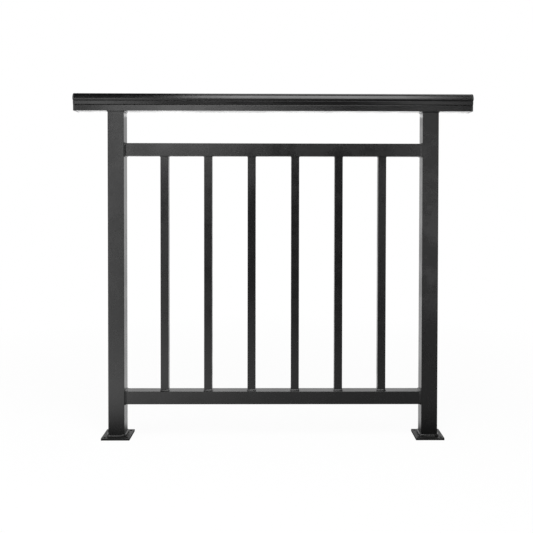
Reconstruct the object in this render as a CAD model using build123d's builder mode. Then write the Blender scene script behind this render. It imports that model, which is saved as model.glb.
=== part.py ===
from build123d import *
import math
import os

os.makedirs("parts", exist_ok=True)

# Level balustrade section of welded aluminium tube: two posts on base plates, two rails with
# square balusters between them, and a moulded handrail that runs on past both posts.
# X runs along the rail, Y through it, Z is up. The origin is the middle of the underside of
# the left base plate, and the handrail's front is at -Y. All sizes are in millimetres.

# Posts: square tube, standing on the base plates and ending under the handrail.
post_size = 50.0
post_wall = 3.0
post_corner = 1.0
post_spacing = 971.0

# Base plates: flat square plate with a bolt hole in each corner.
plate_size = 88.0
plate_thickness = 6.0
plate_corner = 2.0
bolt_spacing = 68.0
bolt_hole_diameter = 9.0

# Handrail: hollow moulded extrusion with a rounded nose, a groove, a band, a crease and a fascia.
# The band leans out a little towards its top.
handrail_top = 1068.0
handrail_overhang = 104.5
handrail_wall = 2.0
nose_half_width = 36.0
nose_top_radius = 17.0
nose_under_drop = 5.4
nose_under_inset = 4.0
groove_width = 0.6
groove_depth = 1.9
band_height = 12.0
band_proud = 1.8
band_lean = 1.1
band_round = 1.2
crease_width = 0.5
crease_depth = 1.5
fascia_half_width = 29.0
fascia_height = 19.0
cap_thickness = 5.0
cap_plug_length = 14.0
cap_plug_clearance = 0.6
cap_edge_round = 0.6

# Rails: square tube between the posts, with a gap for the hand above and one to the floor below.
rail_size = 40.0
rail_wall = 2.0
rail_corner = 1.0
hand_gap = 98.9
floor_gap = 104.5

# Balusters: square tube standing between the rails with equal gaps.
baluster_count = 6
baluster_size = 25.0
baluster_wall = 1.6
baluster_corner = 1.0

# Weld beads: how far each fillet run reaches over the face that the tube stands on, how high
# it rises along the tube, and the thin lip at its edge.
base_weld_reach = 6.5
base_weld_rise = 7.5
top_weld_reach = 3.5
top_weld_rise = 3.5
rail_weld_reach = 3.0
rail_weld_rise = 5.5
foot_weld_reach = 2.5
foot_weld_rise = 4.5
head_weld_reach = 2.0
head_weld_rise = 2.5
weld_lip = 0.8
weld_edge_radius = 1.0

# Positions that follow from the sizes above.
nose_height = nose_top_radius + nose_under_drop
handrail_height = nose_height + groove_width + band_height + fascia_height
handrail_bottom = handrail_top - handrail_height
post_bottom = plate_thickness
post_height = handrail_bottom - post_bottom
clear_width = post_spacing - post_size
rail_start = post_size / 2
rail_end = post_spacing - post_size / 2
upper_rail_top = handrail_bottom - hand_gap
upper_rail_bottom = upper_rail_top - rail_size
lower_rail_top = floor_gap + rail_size
baluster_height = upper_rail_bottom - lower_rail_top
baluster_gap = (clear_width - baluster_count * baluster_size) / (baluster_count + 1)
baluster_pitch = baluster_gap + baluster_size
first_baluster = rail_start + baluster_gap + baluster_size / 2
handrail_start = -post_size / 2 - handrail_overhang
handrail_end = post_spacing + post_size / 2 + handrail_overhang


def keep(solid, name):
    solid.label = name
    export_step(solid, f"parts/{name}.step")


def square_tube(plane, length, size, wall, corner):
    with BuildPart() as tube:
        with BuildSketch(plane):
            RectangleRounded(size, size, corner)
            Rectangle(size - 2 * wall, size - 2 * wall, mode=Mode.SUBTRACT)
        extrude(amount=length)
    return tube.part


def weld_ring(plane, size, reach, rise):
    slope = math.degrees(math.atan2(reach - weld_lip, rise))
    outer_size = size + 2 * reach
    outer_corner = weld_edge_radius + reach - weld_lip
    with BuildPart() as ring:
        with BuildSketch(plane):
            RectangleRounded(outer_size, outer_size, outer_corner)
        extrude(amount=rise, taper=slope)
        with BuildSketch(plane):
            Rectangle(size, size)
        extrude(amount=rise, mode=Mode.SUBTRACT)
    return ring.part


# Each post stands on its plate inside a fillet weld, and a smaller weld joins its head to the
# underside of the handrail.
for side, post_x in (("left", 0.0), ("right", post_spacing)):
    with BuildPart() as base_plate:
        with BuildSketch(Plane((post_x, 0, 0))):
            RectangleRounded(plate_size, plate_size, plate_corner)
            with GridLocations(bolt_spacing, bolt_spacing, 2, 2):
                Circle(bolt_hole_diameter / 2, mode=Mode.SUBTRACT)
        extrude(amount=plate_thickness)
    keep(base_plate.part, f"{side}_base_plate")

    post_foot = Plane((post_x, 0, post_bottom))
    keep(square_tube(post_foot, post_height, post_size, post_wall, post_corner), f"{side}_post")
    base_weld = weld_ring(post_foot, post_size, base_weld_reach, base_weld_rise)
    keep(base_weld, f"{side}_base_weld")

    post_head = Plane((post_x, 0, handrail_bottom), x_dir=(1, 0, 0), z_dir=(0, 0, -1))
    top_weld = weld_ring(post_head, post_size, top_weld_reach, top_weld_rise)
    keep(top_weld, f"{side}_post_top_weld")

# The two rails are cut square, set between the posts and welded all round at both ends.
for level, rail_top in (("upper", upper_rail_top), ("lower", lower_rail_top)):
    rail_centre = rail_top - rail_size / 2
    left_end = Plane((rail_start, 0, rail_centre), x_dir=(0, 1, 0), z_dir=(1, 0, 0))
    right_end = Plane((rail_end, 0, rail_centre), x_dir=(0, 1, 0), z_dir=(-1, 0, 0))
    keep(square_tube(left_end, clear_width, rail_size, rail_wall, rail_corner), f"{level}_rail")
    left_weld = weld_ring(left_end, rail_size, rail_weld_reach, rail_weld_rise)
    keep(left_weld, f"{level}_rail_left_weld")
    right_weld = weld_ring(right_end, rail_size, rail_weld_reach, rail_weld_rise)
    keep(right_weld, f"{level}_rail_right_weld")

# The balusters stand on the lower rail and end under the upper rail, welded at foot and head.
for number in range(1, baluster_count + 1):
    baluster_x = first_baluster + (number - 1) * baluster_pitch
    foot = Plane((baluster_x, 0, lower_rail_top))
    head = Plane((baluster_x, 0, upper_rail_bottom), x_dir=(1, 0, 0), z_dir=(0, 0, -1))
    keep(
        square_tube(foot, baluster_height, baluster_size, baluster_wall, baluster_corner),
        f"baluster_{number}",
    )
    foot_weld = weld_ring(foot, baluster_size, foot_weld_reach, foot_weld_rise)
    keep(foot_weld, f"baluster_{number}_foot_weld")
    head_weld = weld_ring(head, baluster_size, head_weld_reach, head_weld_rise)
    keep(head_weld, f"baluster_{number}_head_weld")

# The handrail's section, drawn with its first axis across the rail and its second axis up:
# a flat fascia that rounds into a crease, a band with rounded edges, a narrow groove and the
# rounded nose, the same on both sides.
fascia_top = handrail_bottom + fascia_height
band_under = fascia_top + crease_width
band_top = fascia_top + band_height
nose_under = band_top + groove_width
nose_widest = handrail_top - nose_top_radius
crease_half_width = fascia_half_width - crease_depth
band_under_half_width = fascia_half_width + band_proud
band_top_half_width = band_under_half_width + band_lean
groove_half_width = band_top_half_width - groove_depth
nose_under_half_width = nose_half_width - nose_under_inset
nose_under_radius = (nose_under_drop**2 + nose_under_inset**2) / (2 * nose_under_inset)
nose_top_half_width = nose_half_width - nose_top_radius
with BuildSketch() as handrail_outline:
    with BuildLine():
        Polyline(
            (0, handrail_bottom),
            (fascia_half_width, handrail_bottom),
            (fascia_half_width, fascia_top - crease_depth),
        )
        RadiusArc(
            (fascia_half_width, fascia_top - crease_depth),
            (crease_half_width, fascia_top),
            -crease_depth,
        )
        Line((crease_half_width, fascia_top), (band_under_half_width - band_round, band_under))
        RadiusArc(
            (band_under_half_width - band_round, band_under),
            (band_under_half_width, band_under + band_round),
            -band_round,
        )
        Line(
            (band_under_half_width, band_under + band_round),
            (band_top_half_width, band_top - band_round),
        )
        RadiusArc(
            (band_top_half_width, band_top - band_round),
            (band_top_half_width - band_round, band_top),
            -band_round,
        )
        Polyline(
            (band_top_half_width - band_round, band_top),
            (groove_half_width, band_top),
            (groove_half_width, nose_under),
            (nose_under_half_width, nose_under),
        )
        RadiusArc(
            (nose_under_half_width, nose_under),
            (nose_half_width, nose_widest),
            -nose_under_radius,
        )
        RadiusArc(
            (nose_half_width, nose_widest),
            (nose_top_half_width, handrail_top),
            -nose_top_radius,
        )
        Line((nose_top_half_width, handrail_top), (0, handrail_top))
        mirror(about=Plane.YZ)
    make_face()

handrail_length = handrail_end - handrail_start - 2 * cap_thickness


def end_plane(x):
    return Plane((x, 0, 0), x_dir=(0, 1, 0), z_dir=(1, 0, 0))


# The handrail is one hollow length with an even wall.
with BuildPart() as handrail:
    with BuildSketch(end_plane(handrail_start + cap_thickness)):
        add(handrail_outline.sketch)
        offset(handrail_outline.sketch, amount=-handrail_wall, mode=Mode.SUBTRACT)
    extrude(amount=handrail_length)
keep(handrail.part, "handrail")

# Each end is closed by a moulded cap with the handrail's outline and a plug pushed inside.
plug_inset = handrail_wall + cap_plug_clearance
for side, cap_x, plug_x in (
    ("left", handrail_start, handrail_start + cap_thickness),
    ("right", handrail_end - cap_thickness, handrail_end - cap_thickness - cap_plug_length),
):
    outer_end = Axis.X if side == "right" else -Axis.X
    with BuildPart() as end_cap:
        with BuildSketch(end_plane(cap_x)):
            add(handrail_outline.sketch)
        extrude(amount=cap_thickness)
        fillet(end_cap.faces().sort_by(outer_end)[-1].edges(), cap_edge_round)
        with BuildSketch(end_plane(plug_x)):
            offset(handrail_outline.sketch, amount=-plug_inset)
        extrude(amount=cap_plug_length)
    keep(end_cap.part, f"handrail_{side}_end_cap")
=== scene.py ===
import math

import bmesh
import bpy
from mathutils import Matrix, Vector


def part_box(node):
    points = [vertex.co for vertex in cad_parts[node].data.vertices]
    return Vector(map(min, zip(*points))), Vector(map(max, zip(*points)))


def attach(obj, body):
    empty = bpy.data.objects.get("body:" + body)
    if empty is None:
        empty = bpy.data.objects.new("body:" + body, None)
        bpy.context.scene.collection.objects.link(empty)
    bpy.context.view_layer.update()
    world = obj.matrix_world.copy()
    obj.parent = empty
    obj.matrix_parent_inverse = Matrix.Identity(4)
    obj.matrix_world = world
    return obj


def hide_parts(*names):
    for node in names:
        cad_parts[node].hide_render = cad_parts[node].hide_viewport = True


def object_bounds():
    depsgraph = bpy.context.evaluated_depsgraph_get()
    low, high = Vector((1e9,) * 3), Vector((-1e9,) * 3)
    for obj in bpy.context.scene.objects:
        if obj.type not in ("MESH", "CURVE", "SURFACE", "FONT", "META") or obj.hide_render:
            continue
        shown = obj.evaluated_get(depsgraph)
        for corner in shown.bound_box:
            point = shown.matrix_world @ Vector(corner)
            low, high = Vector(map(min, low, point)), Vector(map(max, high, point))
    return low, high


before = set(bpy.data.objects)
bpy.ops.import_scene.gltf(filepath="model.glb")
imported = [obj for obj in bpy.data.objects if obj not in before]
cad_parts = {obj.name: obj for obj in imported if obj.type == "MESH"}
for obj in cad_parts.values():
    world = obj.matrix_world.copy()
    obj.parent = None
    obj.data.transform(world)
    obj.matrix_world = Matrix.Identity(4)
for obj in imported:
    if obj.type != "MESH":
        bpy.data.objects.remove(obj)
cad_low, cad_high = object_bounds()
scene = bpy.context.scene
scene.view_settings.view_transform = "Standard"

# Viewpoint: the section is seen square on from about three quarters of its height.
# The lens axis lies above the middle of the square picture, so the posts stay upright.
picture_px = 533
focal_px = 727.3
lens_axis_px = (283.42, 200.0)
camera_offset = Vector((0.01146, -2.2695, 0.7817))
camera_yaw = 0.0087
camera_pitch = 0.0185
camera_roll = 0.0018

camera_data = bpy.data.cameras.new("camera")
camera_data.sensor_width = 36.0
camera_data.lens = camera_data.sensor_width * focal_px / picture_px
camera_data.shift_x = 0.5 - lens_axis_px[0] / picture_px
camera_data.shift_y = lens_axis_px[1] / picture_px - 0.5
camera = bpy.data.objects.new("camera", camera_data)
scene.collection.objects.link(camera)
scene.camera = camera
middle_x = (cad_low.x + cad_high.x) / 2
section_middle = Vector((middle_x, 0, 0))
camera.matrix_world = (
    Matrix.Translation(section_middle + camera_offset)
    @ Matrix.Rotation(-camera_yaw, 4, "Z")
    @ Matrix.Rotation(math.pi / 2 - camera_pitch, 4, "X")
    @ Matrix.Rotation(camera_roll, 4, "Z")
)

# Studio: a pale floor that runs out into a white surround, with soft lights overhead, in
# front and at the left, and three glowing cards that only gloss can see, which paint
# reflections into the coat. Nothing here belongs to the section.
surround_fill = 0.32
surround_front = 0.12
surround_turn = (-0.3, 0.4)
floor_half_size = 8.0
floor_drop = 0.0005
floor_colour = (0.95, 0.95, 0.95, 1.0)
floor_fade_reach = (0.7, 2.2)
floor_near_glow = 0.94


def link(tree, source, target):
    tree.links.new(source, target)


def math_node(tree, operation, first, second):
    node = tree.nodes.new("ShaderNodeMath")
    node.operation = operation
    for socket, value in zip(node.inputs, (first, second)):
        if isinstance(value, (int, float)):
            socket.default_value = value
        else:
            link(tree, value, socket)
    return node.outputs[0]


def remap(tree, value, low, high, new_low=0.0, new_high=1.0, easing="SMOOTHSTEP"):
    """Carries a value over from one range to another and stops at its ends."""
    node = tree.nodes.new("ShaderNodeMapRange")
    node.interpolation_type = easing
    node.inputs["From Min"].default_value = low
    node.inputs["From Max"].default_value = high
    node.inputs["To Min"].default_value = new_low
    node.inputs["To Max"].default_value = new_high
    link(tree, value, node.inputs["Value"])
    return node.outputs["Result"]


def new_material(name):
    material = bpy.data.materials.new(name)
    material.use_nodes = True
    material.node_tree.nodes.clear()
    output = material.node_tree.nodes.new("ShaderNodeOutputMaterial")
    return material, material.node_tree, output


def seen_or_mirrored(tree):
    """1 for rays from the camera, from a gloss or through glass, and 0 for the rest."""
    path = tree.nodes.new("ShaderNodeLightPath")
    total = path.outputs["Is Camera Ray"]
    for kind in ("Is Glossy Ray", "Is Transmission Ray"):
        total = math_node(tree, "MAXIMUM", total, path.outputs[kind])
    return total


# The camera sees the surround white all round. In a gloss it is dim in front of the section
# and turns to white behind it, and as diffuse light it is an even fill.
world = bpy.data.worlds.new("white_surround")
scene.world = world
world.use_nodes = True
world_tree = world.node_tree
surround = world_tree.nodes["Background"]
surround.inputs["Color"].default_value = (1, 1, 1, 1)
world_way = world_tree.nodes.new("ShaderNodeTexCoord")
world_parts = world_tree.nodes.new("ShaderNodeSeparateXYZ")
link(world_tree, world_way.outputs["Generated"], world_parts.inputs[0])
world_gloss = remap(world_tree, world_parts.outputs["Y"], *surround_turn, surround_front)
world_path = world_tree.nodes.new("ShaderNodeLightPath")
world_mirrored = world_tree.nodes.new("ShaderNodeMix")
world_mirrored.inputs["A"].default_value = surround_fill
link(world_tree, world_path.outputs["Is Glossy Ray"], world_mirrored.inputs["Factor"])
link(world_tree, world_gloss, world_mirrored.inputs["B"])
world_seen = math_node(
    world_tree,
    "MAXIMUM",
    world_path.outputs["Is Camera Ray"],
    world_path.outputs["Is Transmission Ray"],
)
surround_level = world_tree.nodes.new("ShaderNodeMix")
surround_level.inputs["B"].default_value = 1.0
link(world_tree, world_seen, surround_level.inputs["Factor"])
link(world_tree, world_mirrored.outputs["Result"], surround_level.inputs["A"])
link(world_tree, surround_level.outputs["Result"], surround.inputs["Strength"])

# The floor takes the section's shadow close by, and glows white further out.
bpy.ops.mesh.primitive_plane_add(
    size=2 * floor_half_size, location=(middle_x, 0, cad_low.z - floor_drop)
)
floor = bpy.context.object
floor.name = "studio_floor"
floor_material, floor_tree, floor_output = new_material("pale_floor")
floor_paint = floor_tree.nodes.new("ShaderNodeBsdfDiffuse")
floor_paint.inputs["Color"].default_value = floor_colour
floor_glow = floor_tree.nodes.new("ShaderNodeEmission")
floor_glow.inputs["Strength"].default_value = 1.0
floor_place = floor_tree.nodes.new("ShaderNodeTexCoord")
floor_reach = floor_tree.nodes.new("ShaderNodeVectorMath")
floor_reach.operation = "LENGTH"
link(floor_tree, floor_place.outputs["Object"], floor_reach.inputs[0])
floor_fade = remap(
    floor_tree,
    floor_reach.outputs["Value"],
    *floor_fade_reach,
    new_low=floor_near_glow,
    easing="LINEAR",
)
floor_share = math_node(floor_tree, "MULTIPLY", seen_or_mirrored(floor_tree), floor_fade)
floor_mix = floor_tree.nodes.new("ShaderNodeMixShader")
link(floor_tree, floor_share, floor_mix.inputs["Fac"])
link(floor_tree, floor_paint.outputs[0], floor_mix.inputs[1])
link(floor_tree, floor_glow.outputs[0], floor_mix.inputs[2])
link(floor_tree, floor_mix.outputs[0], floor_output.inputs["Surface"])
floor.data.materials.append(floor_material)

# Each light gives its place and its target, both from the middle of the section, then its
# width, height and radiance.
studio_lights = {
    "overhead_light": ((0.2, -1.42, 2.42), (0.2, 0, 1.06), 1.4, 2.1, 5.7),
    "upper_middle_light": ((0.05, -2.4, 1.52), (0.05, 0, 1.0), 0.6, 0.5, 1.6),
    "upper_left_light": ((-0.66, -2.4, 1.3), (-0.2, 0, 0.9), 0.88, 0.66, 3.0),
    "left_light": ((-1.15, -2.3, 0.5), (-0.4, 0, 0.4), 0.5, 1.0, 1.95),
    "right_light": ((0.97, -2.3, 0.63), (0.4, 0, 0.6), 0.3, 1.24, 2.0),
    "side_light": ((-1.9, -1.0, 0.7), (0.3, 0, 0.6), 1.6, 1.4, 2.6),
}
for light_name, (place, target, width, height, radiance) in studio_lights.items():
    light_data = bpy.data.lights.new(light_name, "AREA")
    light_data.shape = "RECTANGLE"
    light_data.size = width
    light_data.size_y = height
    light_data.energy = radiance * math.pi * width * height
    lamp = bpy.data.objects.new(light_name, light_data)
    scene.collection.objects.link(lamp)
    lamp.location = section_middle + Vector(place)
    lamp.rotation_mode = "QUATERNION"
    lamp.rotation_quaternion = (Vector(target) - Vector(place)).to_track_quat("-Z", "Y")
    lamp.visible_camera = False


def gloss_card(name, corner, along, across, level=1.0):
    """A flat glowing card that only gloss can see, a painted reflection in the coat, placed from
    the middle of the section.
    """
    corner, along, across = section_middle + Vector(corner), Vector(along), Vector(across)
    corners = [corner, corner + along, corner + along + across, corner + across]
    data = bpy.data.meshes.new(name)
    data.from_pydata(corners, [], [tuple(range(len(corners)))])
    card = bpy.data.objects.new(name, data)
    scene.collection.objects.link(card)
    card.visible_camera = False
    card.visible_diffuse = False
    card.visible_shadow = False
    material, tree, output = new_material(name)
    glow = tree.nodes.new("ShaderNodeEmission")
    glow.inputs["Strength"].default_value = level
    link(tree, glow.outputs[0], output.inputs["Surface"])
    data.materials.append(material)
    return tree, glow


# A dark card that only gloss sees hangs over the left end: a painted dark reflection in the coat
# there.
ceiling_corner = (-3.0, -2.4, 2.6)
ceiling_length = (2.5, 0, 0)
ceiling_depth = (0, 4.9, 0)
dark_reflection_grey = 0.03
gloss_card("dark_reflection_card", ceiling_corner, ceiling_length, ceiling_depth, dark_reflection_grey)

# The card on the floor is a painted reflection of a floor lit from the left: bright at the left,
# it dims to the right, far out in front and, as painted shade, close to the section's foot.
# Behind the section it is white.
card_corner = (-4.0, 1.2, 0.0005)
card_length = (8.0, 0, 0)
card_depth = (0, -9.2, 0)
card_bright_x = middle_x - 0.7
card_dim_x = middle_x + 0.9
card_falloff = 2.5
card_bright = 1.45
card_dim = 0.4
card_far_y = (-2.4, -0.8)
card_far_share = 0.25
card_foot_shade_y = (-0.45, 0.02)
card_behind_y = (0.02, 0.16)
card_tree, card_glow = gloss_card("floor_reflection_card", card_corner, card_length, card_depth)
card_place = card_tree.nodes.new("ShaderNodeTexCoord")
card_parts = card_tree.nodes.new("ShaderNodeSeparateXYZ")
link(card_tree, card_place.outputs["Object"], card_parts.inputs[0])
card_x, card_y = card_parts.outputs["X"], card_parts.outputs["Y"]
card_level = remap(card_tree, card_x, card_bright_x, card_dim_x, 1.0, 0.0, easing="LINEAR")
card_level = math_node(card_tree, "POWER", card_level, card_falloff)
card_level = math_node(card_tree, "MULTIPLY", card_level, card_bright)
card_level = math_node(card_tree, "ADD", card_level, card_dim)
card_far = remap(card_tree, card_y, *card_far_y, card_far_share)
card_level = math_node(card_tree, "MULTIPLY", card_level, card_far)
# Painted shade: the card's glow dies away close to the section's foot, so the coat mirrors dark
# there.
card_foot_shade = remap(card_tree, card_y, *card_foot_shade_y, 1.0, 0.0)
card_level = math_node(card_tree, "MULTIPLY", card_level, card_foot_shade)
card_behind = remap(card_tree, card_y, *card_behind_y)
card_level = math_node(card_tree, "MAXIMUM", card_level, card_behind)
link(card_tree, card_level, card_glow.inputs["Strength"])

# A glowing white strip that only gloss sees stands behind the handrail's underside, which mirrors
# it: a painted reflection that lightens the underside.
strip_drop = 0.0105
strip_corner = (-0.9, 0.06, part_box("handrail")[0].z - strip_drop)
strip_length = (1.8, 0, 0)
strip_height = (0, 0, 0.01)
strip_white = 2.2
gloss_card("under_reflection_card", strip_corner, strip_length, strip_height, strip_white)

# Powder coat: the posts, plates, rails, balusters and handrail are aluminium, etched and
# sprayed with one satin black powder, which bakes to a fine orange peel with faint dust.
coat_colour = (0.0025, 0.0025, 0.0026, 1.0)
coat_dust_colour = (0.012, 0.012, 0.012, 1.0)
coat_specular = 0.5
peel_detail = 1.5
speck_scale = 1900.0
speck_share = 0.25
haze_scale = 9.0
haze_range = (0.35, 0.65)
dust_slope = (0.35, 1.0)
dust_scale = 60.0
dust_range = (0.42, 0.7)


def add_socket(group, name, direction, kind):
    group.interface.new_socket(name=name, in_out=direction, socket_type=kind)


def noise(tree, vector, scale, detail, roughness=0.5):
    node = tree.nodes.new("ShaderNodeTexNoise")
    node.inputs["Scale"].default_value = scale
    node.inputs["Detail"].default_value = detail
    node.inputs["Roughness"].default_value = roughness
    link(tree, vector, node.inputs["Vector"])
    return node.outputs["Fac"]


# The spray's own surface, shared by every coated piece: peel is the waviness of the baked
# film, speck the fine grain on it, haze the slow change of gloss and dust where it settles.
spray = bpy.data.node_groups.new("sprayed_film", "ShaderNodeTree")
add_socket(spray, "Place", "INPUT", "NodeSocketVector")
add_socket(spray, "Peel Scale", "INPUT", "NodeSocketFloat")
add_socket(spray, "Height", "OUTPUT", "NodeSocketFloat")
add_socket(spray, "Haze", "OUTPUT", "NodeSocketFloat")
add_socket(spray, "Dust", "OUTPUT", "NodeSocketFloat")
spray_in = spray.nodes.new("NodeGroupInput")
spray_out = spray.nodes.new("NodeGroupOutput")
spray_place = spray_in.outputs["Place"]
peel = spray.nodes.new("ShaderNodeTexNoise")
peel.inputs["Detail"].default_value = peel_detail
link(spray, spray_place, peel.inputs["Vector"])
link(spray, spray_in.outputs["Peel Scale"], peel.inputs["Scale"])
speck = noise(spray, spray_place, speck_scale, detail=2.0)
film = math_node(spray, "MULTIPLY", speck, speck_share)
film = math_node(spray, "ADD", peel.outputs["Fac"], film)
link(spray, film, spray_out.inputs["Height"])
haze = noise(spray, spray_place, haze_scale, detail=5.0, roughness=0.6)
link(spray, remap(spray, haze, *haze_range), spray_out.inputs["Haze"])
facing = spray.nodes.new("ShaderNodeNewGeometry")
facing_parts = spray.nodes.new("ShaderNodeSeparateXYZ")
link(spray, facing.outputs["Normal"], facing_parts.inputs[0])
settle = remap(spray, facing_parts.outputs["Z"], *dust_slope)
drift = noise(spray, spray_place, dust_scale, detail=6.0, roughness=0.7)
drift = remap(spray, drift, *dust_range)
link(spray, math_node(spray, "MULTIPLY", settle, drift), spray_out.inputs["Dust"])


def powder_coat(name, peel_scale, peel_depth, gloss, dusty):
    """Satin black coat; gloss is its lowest and highest roughness, depths are in metres."""
    material, tree, output = new_material(name)
    place = tree.nodes.new("ShaderNodeTexCoord")
    skin = tree.nodes.new("ShaderNodeGroup")
    skin.node_tree = spray
    skin.inputs["Peel Scale"].default_value = peel_scale
    link(tree, place.outputs["Object"], skin.inputs["Place"])
    shader = tree.nodes.new("ShaderNodeBsdfPrincipled")
    shader.inputs["Specular IOR Level"].default_value = coat_specular
    tint = tree.nodes.new("ShaderNodeMix")
    tint.data_type = "RGBA"
    tint.inputs["A"].default_value = coat_colour
    tint.inputs["B"].default_value = coat_dust_colour
    link(tree, math_node(tree, "MULTIPLY", skin.outputs["Dust"], dusty), tint.inputs["Factor"])
    link(tree, tint.outputs["Result"], shader.inputs["Base Color"])
    satin = remap(tree, skin.outputs["Haze"], 0.0, 1.0, *gloss)
    link(tree, satin, shader.inputs["Roughness"])
    bump = tree.nodes.new("ShaderNodeBump")
    bump.inputs["Strength"].default_value = 1.0
    bump.inputs["Distance"].default_value = peel_depth
    link(tree, skin.outputs["Height"], bump.inputs["Height"])
    link(tree, bump.outputs["Normal"], shader.inputs["Normal"])
    link(tree, shader.outputs[0], output.inputs["Surface"])
    return material


# Base plates: square aluminium plate, sawn, drilled at the four corners for anchor bolts
# and deburred, so every edge is a little round under the coat.
plate_edge_round = 0.0007
plate_edge_segments = 3
plate_edge_angle = 40
plate_joined_gap = 0.00001
plate_coat = powder_coat(
    "plate_coat", peel_scale=420.0, peel_depth=0.00004, gloss=(0.44, 0.54), dusty=0.7
)


def finish_node(name, material):
    """Gives a solid its finish."""
    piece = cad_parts[name]
    piece.data.materials.clear()
    piece.data.materials.append(material)
    return piece


for side in ("left", "right"):
    plate = finish_node(f"{side}_base_plate", plate_coat)
    joined = plate.modifiers.new("joined_faces", "WELD")
    joined.merge_threshold = plate_joined_gap
    rounding = plate.modifiers.new("eased_edges", "BEVEL")
    rounding.width = plate_edge_round
    rounding.segments = plate_edge_segments
    rounding.limit_method = "ANGLE"
    rounding.angle_limit = math.radians(plate_edge_angle)
    rounding.harden_normals = True

# Posts: square extruded tube, cut to length and stood on the plates, with the saw cuts
# hidden by the welds at foot and head.
post_coat = powder_coat(
    "post_coat", peel_scale=420.0, peel_depth=0.00004, gloss=(0.22, 0.30), dusty=0.5
)
for side in ("left", "right"):
    finish_node(f"{side}_post", post_coat)

# Rails and balusters: lighter square tube in the same coat. The rails run between the
# posts, and the balusters stand between the rails.
rail_coat = powder_coat(
    "rail_coat", peel_scale=460.0, peel_depth=0.00004, gloss=(0.22, 0.30), dusty=0.6
)
baluster_coat = powder_coat(
    "baluster_coat", peel_scale=500.0, peel_depth=0.00004, gloss=(0.22, 0.30), dusty=0.5
)
for level in ("upper", "lower"):
    finish_node(f"{level}_rail", rail_coat)
baluster_names = sorted(
    name
    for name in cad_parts
    if name.startswith("baluster_") and not name.endswith("weld")
)
for name in baluster_names:
    finish_node(name, baluster_coat)

# Weld beads: a hand-fed fillet run of aluminium goes round every joint of the tubes. Each
# has fine ripples and a leaning face with a rounded brow, and draws in at the corners. It
# lies under the same black coat.
ripple_pitch = 0.0021
ripple_height = 0.00005
ripple_lag = 0.45
ripple_start = 0.23
base_bead_lean = 0.21
tube_bead_lean = 0.42
brow_power = 12
corner_draw = 0.22
corner_draw_length = 0.004
toe_wander = 0.02
toe_wander_waves = (7, 17)
toe_wander_start = 0.37
bead_step = 0.0005
bead_face_points = 13
bead_sink = 0.0002
tube_corner = 0.001
bead_coat = powder_coat(
    "bead_coat", peel_scale=700.0, peel_depth=0.00003, gloss=(0.22, 0.28), dusty=0.2
)


def bead_path(half, reach):
    """Stations round a square tube: place, way out, length run and length off a corner."""
    straight = 2 * (half - tube_corner)
    turn = (tube_corner + reach / 2) * math.pi / 2
    straight_steps = round(straight / bead_step)
    turn_steps = round(turn / bead_step)
    pivot = Vector((half - tube_corner, half - tube_corner))
    stations = []
    travelled = 0.0
    for quarter in range(4):
        spin = Matrix.Rotation(quarter * math.pi / 2, 2)
        for step in range(straight_steps):
            run = straight * step / straight_steps
            place = Vector((half, run - straight / 2))
            off_corner = min(run, straight - run)
            stations.append((spin @ place, spin @ Vector((1, 0)), travelled + run, off_corner))
        travelled += straight
        for step in range(turn_steps):
            angle = math.pi / 2 * step / turn_steps
            out = Vector((math.cos(angle), math.sin(angle)))
            run = turn * step / turn_steps
            stations.append((spin @ (pivot + out * tube_corner), spin @ out, travelled + run, 0.0))
        travelled += turn
    return stations, travelled


def weld_bead(node, tube, along_tube, lean, run_number):
    """A rippled fillet bead round the end of a tube, in place of one plain weld ring."""
    low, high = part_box(node)
    tube_low, tube_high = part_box(tube)
    along = Vector(along_tube)
    across = Vector((0, 1, 0)) if along.x else Vector((1, 0, 0))
    up = along.cross(across)
    rise = abs(along.dot(high - low))
    half = across.dot(tube_high - tube_low) / 2
    full_reach = across.dot(high - low) / 2 - half
    foot = (low + high) / 2 - along * rise / 2
    stations, length = bead_path(half, full_reach)
    ripples = round(length / ripple_pitch)
    mesh = bmesh.new()
    rings = []
    for place, out, travelled, off_corner in stations:
        share = travelled / length
        wander = sum(
            math.sin(2 * math.pi * (waves * share + toe_wander_start * run_number * k))
            for k, waves in enumerate(toe_wander_waves, start=1)
        ) / len(toe_wander_waves)
        drawn_in = corner_draw * math.exp(-((off_corner / corner_draw_length) ** 2))
        spread = 1 - drawn_in - toe_wander + toe_wander * wander
        ring = []
        for k in range(bead_face_points):
            t = math.sin(math.pi / 2 * k / (bead_face_points - 1))
            lag = ripple_lag * (2 * t - 1) ** 2
            phase = (ripples * share - lag + ripple_start * run_number) % 1.0
            ripple = ripple_height * math.sin(math.pi * t) * (1 - (2 * phase - 1) ** 2)
            brow = math.sqrt(1 - t**brow_power)
            outward = (full_reach * spread - lean * rise * t) * brow + ripple
            flat = place + out * min(outward, full_reach)
            ring.append(mesh.verts.new(foot + across * flat.x + up * flat.y + along * rise * t))
        root = place - out * bead_sink
        ring.append(mesh.verts.new(foot + across * root.x + up * root.y))
        rings.append(ring)
    for here, there in zip(rings, rings[1:] + rings[:1]):
        for k in range(len(here)):
            n = (k + 1) % len(here)
            face = mesh.faces.new((here[k], there[k], there[n], here[n]))
            face.smooth = k < bead_face_points - 1
    bmesh.ops.recalc_face_normals(mesh, faces=mesh.faces)
    data = bpy.data.meshes.new(f"{node}_bead")
    mesh.to_mesh(data)
    mesh.free()
    bead = bpy.data.objects.new(f"{node}_bead", data)
    scene.collection.objects.link(bead)
    data.materials.append(bead_coat)
    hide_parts(node)
    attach(bead, "root")


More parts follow.
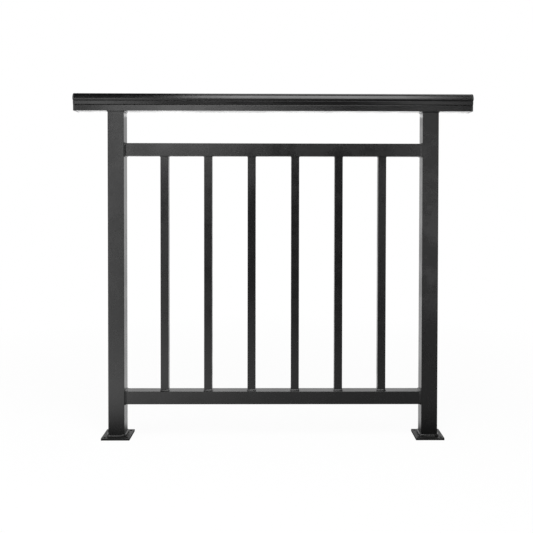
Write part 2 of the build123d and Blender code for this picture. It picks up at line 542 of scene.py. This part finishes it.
bead_runs = []
for side in ("left", "right"):
    bead_runs.append((f"{side}_base_weld", f"{side}_post", (0, 0, 1), base_bead_lean))
    bead_runs.append((f"{side}_post_top_weld", f"{side}_post", (0, 0, -1), tube_bead_lean))
for level in ("upper", "lower"):
    rail = f"{level}_rail"
    bead_runs.append((f"{rail}_left_weld", rail, (1, 0, 0), tube_bead_lean))
    bead_runs.append((f"{rail}_right_weld", rail, (-1, 0, 0), tube_bead_lean))
for name in baluster_names:
    bead_runs.append((f"{name}_foot_weld", name, (0, 0, 1), tube_bead_lean))
    bead_runs.append((f"{name}_head_weld", name, (0, 0, -1), tube_bead_lean))
for run_number, run in enumerate(bead_runs):
    weld_bead(*run, run_number)

# Handrail: one moulded aluminium extrusion with a rounded nose, a band and a fascia, laid
# on the post heads and welded there, in the same coat.
handrail_coat = powder_coat(
    "handrail_coat", peel_scale=420.0, peel_depth=0.00004, gloss=(0.20, 0.26), dusty=0.5
)
finish_node("handrail", handrail_coat)

# End caps: black moulded plastic with a fine spark-eroded grain, pushed into the ends of
# the handrail and a shade duller than the coat beside it.
cap_colour = (0.010, 0.010, 0.0105, 1.0)
cap_grain_scale = 2600.0
cap_grain_depth = 0.00003
cap_cloud_scale = 40.0
cap_cloud_range = (0.3, 0.7)
cap_gloss = (0.45, 0.58)
cap_material, cap_tree, cap_output = new_material("cap_moulding")
cap_place = cap_tree.nodes.new("ShaderNodeTexCoord")
cap_shader = cap_tree.nodes.new("ShaderNodeBsdfPrincipled")
cap_shader.inputs["Specular IOR Level"].default_value = coat_specular
cap_grain = noise(cap_tree, cap_place.outputs["Object"], cap_grain_scale, detail=3.0)
cap_cloud = noise(cap_tree, cap_place.outputs["Object"], cap_cloud_scale, detail=4.0)
cap_satin = remap(cap_tree, cap_cloud, *cap_cloud_range, *cap_gloss)
link(cap_tree, cap_satin, cap_shader.inputs["Roughness"])
cap_tint = cap_tree.nodes.new("ShaderNodeMix")
cap_tint.data_type = "RGBA"
cap_tint.inputs["A"].default_value = cap_colour
cap_tint.inputs["B"].default_value = coat_colour
link(cap_tree, cap_grain, cap_tint.inputs["Factor"])
link(cap_tree, cap_tint.outputs["Result"], cap_shader.inputs["Base Color"])
cap_bump = cap_tree.nodes.new("ShaderNodeBump")
cap_bump.inputs["Distance"].default_value = cap_grain_depth
link(cap_tree, cap_grain, cap_bump.inputs["Height"])
link(cap_tree, cap_bump.outputs["Normal"], cap_shader.inputs["Normal"])
link(cap_tree, cap_shader.outputs[0], cap_output.inputs["Surface"])
for side in ("left", "right"):
    finish_node(f"handrail_{side}_end_cap", cap_material)
